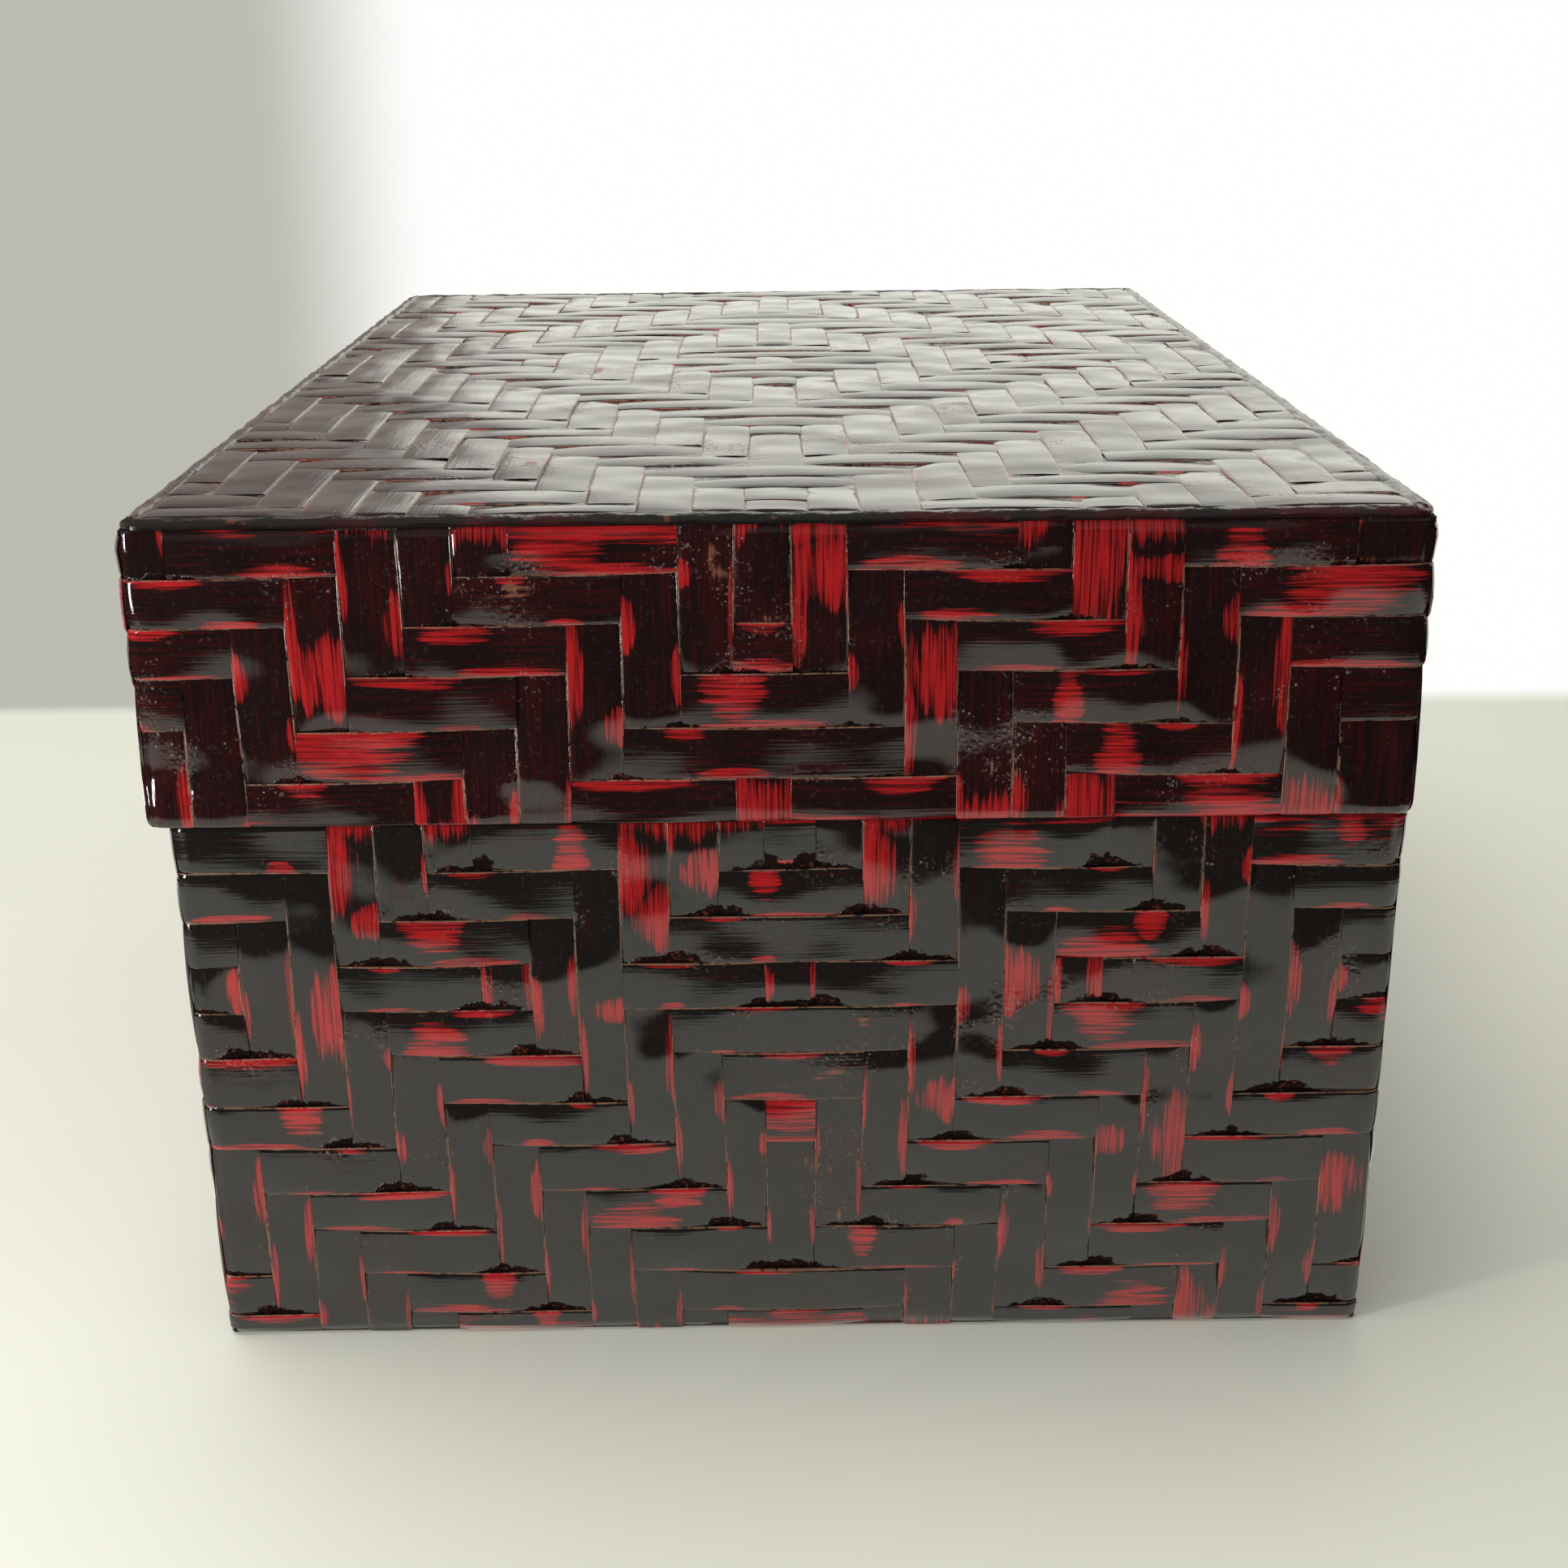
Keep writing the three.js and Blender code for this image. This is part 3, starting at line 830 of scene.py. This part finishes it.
def lay_strip(mat, strip, first, last, line, weft):
    """A copy of a template, as the float over cells first to last of one line of the weave."""
    places, sunk, ends = mixed_shape(mat, strip, first, last, line, weft)
    share = strip.basis[:, 0] / strip.length
    across = strip.basis[:, 1] / (strip.width / 2)
    middle = float((mat.line(not weft, line, 0.0) + mat.line(not weft, line + 1, 0.0)) / 2)
    start = float(mat.line(weft, first, middle)) - TUCK
    end = float(mat.line(weft, last, middle)) + TUCK
    along = start + share * (end - start)
    low = mat.line(not weft, line, along) + SEAM
    high = mat.line(not weft, line + 1, along) - SEAM
    sideways = low + (high - low) * (across + 1) / 2
    columns = [along, sideways] if weft else [sideways, along]
    shape = np.stack([*columns, np.minimum(places[:, 2] + BED, CREST)], axis=1)

    mesh = strip.piece.data.copy()
    copy = bpy.data.objects.new("strip_copy", mesh)
    bpy.context.scene.collection.objects.link(copy)
    copy.shape_key_clear()
    if not weft:
        mesh.flip_normals()
    mesh.vertices.foreach_set("co", shape.astype(np.float32).ravel())

    count = len(mesh.vertices)
    length = end - start
    fallen = np.where(strip.raised, 0.0, shape[:, 2].max() + SUNK)
    to_rim = np.minimum(shape[:, 1], mat.height - shape[:, 1])
    if mat.kind == "top":
        to_rim = np.full(count, FAR_FROM_RIM)
    low_joint, high_joint = (
        length / 2 if joint is None else float(mat.line(weft, joint, middle)) - start
        for joint in ends
    )
    joints = [np.full(count, low_joint), np.full(count, high_joint)]
    vectors = {
        "strip": np.stack([share * length / MM, across, fallen / MM], axis=1),
        "chance": np.tile([mat.rng.random() for _ in range(3)], (count, 1)),
        "nearby": np.stack([*joints, to_rim], axis=1) / MM,
    }
    for name, values in vectors.items():
        attribute = mesh.attributes.new(name, "FLOAT_VECTOR", "POINT")
        attribute.data.foreach_set("vector", values.astype(np.float32).ravel())
    attribute = mesh.attributes.new("dive", "FLOAT", "POINT")
    attribute.data.foreach_set("value", (sunk / MM).astype(np.float32))
    return copy


def joined(name, pieces):
    """Joins pieces into the first of them."""
    deselect_all()
    for piece in pieces:
        piece.select_set(True)
    bpy.context.view_layer.objects.active = pieces[0]
    bpy.ops.object.join()
    pieces[0].name = name
    pieces[0].data.name = name
    return pieces[0]


# %% [markdown]
# ## Trimming the woven strips
#
# The strips were woven past the edges of the mat. Now they are rounded over at the corners of the
# box and trimmed, as a basket maker does. First a few cuts run along the edge and the backs of the
# strips are pressed down there, then a last cut takes off what sticks out. At a corner this last
# cut is a mitre, so that the mat around the corner can meet it.

# %% Press and trim
CORNER_PRESS = ((3.1, 0.0), (2.2, 0.14), (1.6, 0.38), (1.1, 0.74), (0.5, 1.20))
TOP_PRESS = ((3.2, 0.0), (2.3, 0.08), (1.5, 0.24), (0.8, 0.50), (0.2, 0.84))
LIP_PRESS = ((1.2, 0.0), (0.7, 0.08), (0.3, 0.24), (0.0, 0.50))
FOOT_PRESS = ((3.0, 0.0), (2.0, 0.10), (1.2, 0.32), (0.5, 0.66), (0.0, 1.05))
RIM_PRESS = ((0.8, 0.0), (0.4, 0.06), (0.15, 0.16), (0.0, 0.30))


def press_edge(piece, axis, edge, side, steps):
    """Cuts lines near an edge and lowers the backs outside them, by (distance, drop) in mm."""
    edit(piece)
    cut_across(axis, [edge - side * distance * MM for distance, _ in steps])
    before = 0.0
    for distance, drop in steps:
        line = edge - side * distance * MM
        if drop > before:
            pick(piece, lambda v: v.co.z > BED * 0.8 and (v.co[axis] - line) * side > -TINY)
            bpy.ops.transform.translate(value=(0, 0, -(drop - before) * MM))
        before = drop
    leave()


def trim(piece, point, outwards):
    """Takes off what lies outside a plane, and closes the cut."""
    edit(piece)
    bpy.ops.mesh.select_all(action="SELECT")
    bpy.ops.mesh.bisect(
        plane_co=point, plane_no=outwards, clear_outer=True, use_fill=True, threshold=NO_SNAP)
    leave()


def trim_wall(piece, mat):
    for side in (-1, 1):
        press_edge(piece, 0, side * (mat.back + CREST), side, CORNER_PRESS)
        trim(piece, (side * mat.back, 0, 0), (side, 0, -1))
    press_edge(piece, 1, 0.0, -1, FOOT_PRESS if mat.kind == "base" else LIP_PRESS)
    trim(piece, (0, 0, 0), (0, -1, 0))
    press_edge(piece, 1, mat.cut, 1, RIM_PRESS if mat.kind == "base" else TOP_PRESS)
    trim(piece, (0, mat.cut, 0), (0, 1, 0))


# %% [markdown]
# ## Bed and putty
#
# The bed of a wall is a plate whose ends are mitred for the corner. On the lid's top one plate is
# both bed and rim: its corners are rounded and its edge is built up by insets, and then shaken a
# little, because putty smoothed with a finger is never straight. The rim covers the cut ends of
# the top's strips and the upper edges of the four walls.

# %% Bed and rim
def bed_plate(mat):
    plate = add_block(mat.name + "_bed", (-mat.back, 0, 0), (mat.back, mat.cut, BED))
    edit(plate)
    for side in (-1, 1):
        pick(plate, lambda v: v.co.z > BED / 2 and v.co.x * side > 0)
        bpy.ops.transform.translate(value=(side * BED, 0, 0))
    leave()
    plate.data.materials.append(GROOVE)
    return plate


RIM_INSET = 0.35 * MM  # how far the putty stays inside the edge of the top
RIM_UNDER = 0.62 * MM
RIM_ROUND = 3.6 * MM
RIM_EDGE = 0.95 * MM
# The edge's build-up, as steps inwards and up in mm
RIM_STEPS = ((0.15, 0.22), (0.30, 0.26), (0.55, 0.26), (0.90, 0.12), (0.70, -0.16), (0.40, -0.10))
RIM_WIDTH = sum(inwards for inwards, _ in RIM_STEPS) * MM
RIM_LUMPS = 2.3 * MM  # distance from lump to lump along the rim
RIM_SHAKE = 0.22 * MM


def putty_rim(mat):
    half = mat.width / 2 - RIM_INSET
    low, high = RIM_INSET, mat.height - RIM_INSET
    plate = add_block(mat.name + "_rim", (-half, low, RIM_UNDER), (half, high, RIM_EDGE))
    plate.data.materials.append(PUTTY)
    edit(plate)
    pick(plate, lambda e: abs(e.verts[0].co.z - e.verts[1].co.z) > TINY, "EDGE")
    bpy.ops.mesh.bevel(offset=RIM_ROUND, segments=5, affect="EDGES")
    for inwards, up in RIM_STEPS:
        pick(plate, lambda f: f.normal.z > 0.99 and len(f.verts) > 8, "FACE")
        bpy.ops.mesh.inset(thickness=inwards * MM, depth=up * MM, use_even_offset=True)
    for normal, first, last in (((1, 0, 0), -half, half), ((0, 1, 0), low, high)):
        for place in np.arange(first, last, RIM_LUMPS)[1:]:
            pick(plate, lambda f: f.normal.z > -0.5 and len(f.verts) == 4, "FACE")
            bpy.ops.mesh.bisect(plane_co=[place * share for share in normal], plane_no=normal)

    def on_build_up(v):
        inwards = min(half - abs(v.co.x), v.co.y - low, high - v.co.y)
        return v.co.z > RIM_EDGE * 1.1 and inwards < RIM_WIDTH - TINY

    pick(plate, on_build_up)
    bpy.ops.transform.vertex_random(offset=RIM_SHAKE, uniform=0.5, normal=0.0, seed=7)
    leave()
    return plate


# %% [markdown]
# ## Weaving all nine mats
#
# The templates are made once for each direction and each length that the weave calls for. Then the
# mats are woven one after the other, each from its own seed, so that no two walls repeat.

# %% Templates
STRIP_WIDTH = 7.2 * MM
strips = {}
for cells in ARCH_OF_CELLS:
    strips[cells, True] = Strip("weft", cells, STRIP_WIDTH, WEFT_CROWN)
    strips[cells, False] = Strip("warp", cells, STRIP_WIDTH, WARP_CROWN)
print("templates:", {s.piece.name: len(s.piece.data.polygons) for s in strips.values()})


# %% Weave
def woven_strips(mat, material):
    copies = []
    for weft, lines, cells in ((True, mat.rows, mat.columns), (False, mat.columns, mat.rows)):
        for line in range(lines):

            def on_top(cell):
                column, row = (cell, line) if weft else (line, cell)
                return mat.weft_on_top(column, row) == weft

            for first, last in runs(-BEYOND, cells + BEYOND, on_top):
                if last > 0 and -BEYOND < first < cells and last < cells + BEYOND:
                    strip = strips[last - first, weft]
                    copies.append(lay_strip(mat, strip, first, last, line, weft))
    print(mat.name, "is woven of", len(copies), "floats")
    for copy in copies:
        copy.data.materials.clear()
        copy.data.materials.append(material)
    return joined(mat.name + "_weave", copies)


def finish_mat(mat, piece, body):
    piece.data.transform(mat.stand())
    piece.data.update()
    deselect_all()
    piece.select_set(True)
    bpy.context.view_layer.objects.active = piece
    bpy.ops.object.shade_smooth_by_angle(angle=math.radians(40))
    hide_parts(mat.name)
    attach(piece, body)
    print(piece.name, mat.columns, "by", mat.rows, "cells,", len(piece.data.polygons), "faces")


WALLS = {
    "front": ((1, 0, 0), (0, -1, 0)),
    "right": ((0, 1, 0), (1, 0, 0)),
    "back": ((-1, 0, 0), (0, 1, 0)),
    "left": ((0, -1, 0), (-1, 0, 0)),
}
UP = (0, 0, 1)
BASE_ROWS_ABOVE_CENTRE = 3
TOP_ROWS_BEFORE_CENTRE = 16
# For base and lid: which row the diamonds are centred on, the finish and the first seed
WALL_KINDS = {
    "base": (lambda rows: rows - 1 - BASE_ROWS_ABOVE_CENTRE, WALL_BASE, 11),
    "lid": (lambda rows: 0, WALL_LID, 31),
}

for number, (side, (right, out)) in enumerate(WALLS.items()):
    for kind, (centre_row, finish, seed) in WALL_KINDS.items():
        mat = Mat(f"{kind}_{side}_mat", kind, centre_row, right, UP, out, seed + number)
        weave = woven_strips(mat, finish)
        trim_wall(weave, mat)
        whole = joined(mat.name + "_weave", [weave, bed_plate(mat)])
        finish_mat(mat, whole, kind)

# %% [markdown]
# The lid's top is woven the same way. Its strips end under the putty, so they are pressed down and
# cut a little inside the rim.

# %% Lid top
UNDER_RIM = 2.0 * MM
SINK_PRESS = ((4.2, 0.0), (3.5, 0.10), (2.9, 0.28), (2.4, 0.55))
RIGHT, BACK = (1, 0, 0), (0, 1, 0)

mat = Mat("lid_top_mat", "top", lambda rows: TOP_ROWS_BEFORE_CENTRE, RIGHT, BACK, UP, 53)
weave = woven_strips(mat, LID_TOP)
half = mat.width / 2
for axis, edge, side in ((0, -half, -1), (0, half, 1), (1, 0.0, -1), (1, mat.height, 1)):
    press_edge(weave, axis, edge, side, SINK_PRESS)
    point, outwards = [0, 0, 0], [0, 0, 0]
    point[axis], outwards[axis] = edge - side * UNDER_RIM, side
    trim(weave, point, outwards)
finish_mat(mat, joined(mat.name + "_weave", [weave, putty_rim(mat)]), "lid")

for strip in strips.values():
    bpy.data.objects.remove(strip.piece)

# %% [markdown]
# ## Boards
#
# The boards and the collar keep their solids: flat lacquered wood needs no more shape than that.
# Only their finish is set here.

# %% Board finish
boards = [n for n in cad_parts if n.endswith("_board") or n.startswith("collar")]
for name in boards:
    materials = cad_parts[name].data.materials
    materials.clear()
    materials.append(BOARD)
print("boards and collar strips with a finish:", len(boards))

# %% [markdown]
# ## Room and light
#
# Gloss black shows little of its own, so what it mirrors makes the picture. The box stands on a
# pale table in front of a pale wall. Mirrored rays see painted reflections of them. The lid's top
# mirrors a painted, warmer wall and turns pale. The front mirrors a painted, brighter near part of
# the table. Past that a dark room is painted into the reflections only, and so the lid's front goes
# deep and dark.
#
# What is mirrored could be built as cards around the box. It is simpler to give the table and the
# world one colour for the light they shed and another, a painted reflection, for the rays that look
# at them. The camera sees the backdrop with a painted shadow on its left.

# %% Stage
TABLE = (0.70, 0.70, 0.61)
# Painted reflection: mirrored rays see the table near the box in this colour, brighter than it is
TABLE_PAINTED_REFLECTION = (0.90, 0.90, 0.79)
PALE = (1.0, 1.0, 0.985)
# Painted reflection: the pale wall as mirrored rays see it, warmer than it is
PALE_PAINTED_REFLECTION = (1.0, 1.0, 0.87)
# Painted shadow on the left side of the backdrop, and its painted reflection
DIM_PAINTED_SHADOW = (0.50, 0.50, 0.44)
DIM_PAINTED_SHADOW_REFLECTION = (0.42, 0.37, 0.33)
# Painted reflection: a dark room in front of the box that only mirrored rays see
DARK_ROOM_PAINTED_REFLECTION = (0.012, 0.011, 0.010)
# Painted reflection of a dim ceiling, seen only by mirrored rays looking up
CEILING_PAINTED_REFLECTION = (0.16, 0.16, 0.15)
# The painted reflection of the table reaches this far; past it mirrored rays see the painted dark
# room
PAINTED_TABLE_REFLECTION_REACH = (0.25, 0.32)  # m from the box's middle to where the mirrored table fades into the room
TABLE_END = (0.182, 0.200)  # m behind the box's middle, where the table passes into the backdrop
# The painted shadow on the backdrop's left fans out from this point, and its edge lies between
# these
VIEWED_FROM = 0.396  # m in front of the box's middle, the point that the dim side fans out from
PAINTED_SHADOW_SIDE = (-0.24, -0.15)  # sideways by depth, seen from there: the dim side ends in between


def plain_plane(name, size, place):
    deselect_all()
    bpy.ops.mesh.primitive_plane_add(size=1, location=place)
    plane = bpy.context.object
    plane.name = name
    plane.scale = (*size, 1)
    bpy.ops.object.transform_apply(location=True, rotation=True, scale=True)
    return plane


def looks(tree):
    """Is a ray the camera's own, and is it one by mirror or through glass? 1 for yes."""
    paths = node(tree, "ShaderNodeLightPath", {}, {}, None)
    mirrored = outlet(tree, paths, "Is Glossy Ray") | outlet(tree, paths, "Is Transmission Ray")
    return outlet(tree, paths, "Is Camera Ray"), mirrored


def glow(tree, place, mirrored):
    """The pale backdrop, with a painted shadow on its left, and its warmer painted reflection."""
    across = place.part("X") / (place.part("Y") | 0.02) - mirrored * 0.05
    # Painted shadow on the left, and painted reflections for mirrored rays
    left = mixed(tree, mirrored, DIM_PAINTED_SHADOW, DIM_PAINTED_SHADOW_REFLECTION)
    right = mixed(tree, mirrored, PALE, PALE_PAINTED_REFLECTION)
    return mixed(tree, across.over(*PAINTED_SHADOW_SIDE), left, right)


def table_finish():
    """A pale table that passes into the white backdrop behind the box."""
    material, tree, shader = new_material("table_finish")
    place = object_place(tree)
    seen, mirrored = looks(tree)
    cloud = noise(tree, place, scale=6, detail=3)
    colour = mixed(tree, cloud.over(0.35, 0.7), tuple(0.97 * c for c in TABLE), TABLE)
    feed(tree, shader, Base_Color=colour, Roughness=0.7)
    shift = {"Vector": place, "Location": (0, VIEWED_FROM, 0)}
    ahead = node(tree, "ShaderNodeMapping", {}, shift)
    reach = abs(place.part("X")) | (0 - place.part("Y"))
    # Painted reflection: near the box the table mirrors brighter than it is, further out as the
    # painted dark room
    painted_table_reflection = mixed(tree, reach.over(*PAINTED_TABLE_REFLECTION_REACH), TABLE_PAINTED_REFLECTION, DARK_ROOM_PAINTED_REFLECTION)
    behind = place.part("Y").over(*TABLE_END)
    # Behind the box the table shows the backdrop, with its painted shadow and painted reflections
    shown = mixed(tree, behind, painted_table_reflection, glow(tree, ahead, mirrored))
    light = node(tree, "ShaderNodeEmission", {}, {"Color": shown})
    end_in_blend(tree, behind * seen | mirrored, shader, light)
    return material


table = plain_plane("table", (12, 12), (0, 0, 0))
table.data.materials.append(table_finish())


# %% [markdown]
# There are three soft lamps: a narrow window at the left, which draws the white lines on the box's
# left corner, a wide ceiling light, and a weak one behind, for the sheen on the far edges.

# %% Lamps
def soft_box(name, place, aim, size, power):
    data = bpy.data.lights.new(name, "AREA")
    data.shape = "RECTANGLE"
    data.size, data.size_y = size
    data.energy = power
    lamp = bpy.data.objects.new(name, data)
    lamp.location = place
    lamp.rotation_euler = (Vector(aim) - Vector(place)).to_track_quat("-Z", "Y").to_euler()
    lamp.visible_camera = False
    bpy.context.scene.collection.objects.link(lamp)
    return lamp


window = soft_box("window", (-0.34, -0.30, 0.14), (0, -0.1, 0.07), (0.04, 0.20), 0.85)
ceiling = soft_box("ceiling", (-0.5, 0.2, 1.8), (0, 0, 0), (1.4, 1.4), 25)
ceiling.visible_glossy = False
behind = soft_box("behind", (0.42, 1.5, 0.72), (0, 0, 0.12), (1.7, 1.1), 2.0)

# %% [markdown]
# The world sheds a plain, even light. The camera sees the backdrop in it. Mirrored rays also see
# painted reflections: a dark room in front of the box and a dim ceiling overhead.

# %% World
# How high up and how far to the front mirrored rays begin to see the painted ceiling and painted
# dark room
OVERHEAD = (0.42, 0.62)
TO_FRONT = (-0.02, 0.05)
EVEN_LIGHT = (0.50, 0.50, 0.48)

world = bpy.data.worlds.new("room")
bpy.context.scene.world = world
world.use_nodes = True
sky = world.node_tree
way = node(sky, "ShaderNodeTexCoord", {}, {}, "Generated")
seen, mirrored = looks(sky)
overhead = way.part("Z").over(*OVERHEAD)
to_front = (0 - way.part("Y")).over(*TO_FRONT)
# Mirrored rays see painted reflections: the backdrop with its painted shadow, and a dark room to
# the front
view = mixed(sky, to_front * mirrored, glow(sky, way, mirrored), DARK_ROOM_PAINTED_REFLECTION)
# Mirrored rays looking up see the painted reflection of a dim ceiling
view = mixed(sky, overhead * mirrored, view, CEILING_PAINTED_REFLECTION)
tint = mixed(sky, seen | mirrored, EVEN_LIGHT, view)
sky.links.new(tint.socket, sky.nodes["Background"].inputs["Color"])
print("lamps and stage are up")
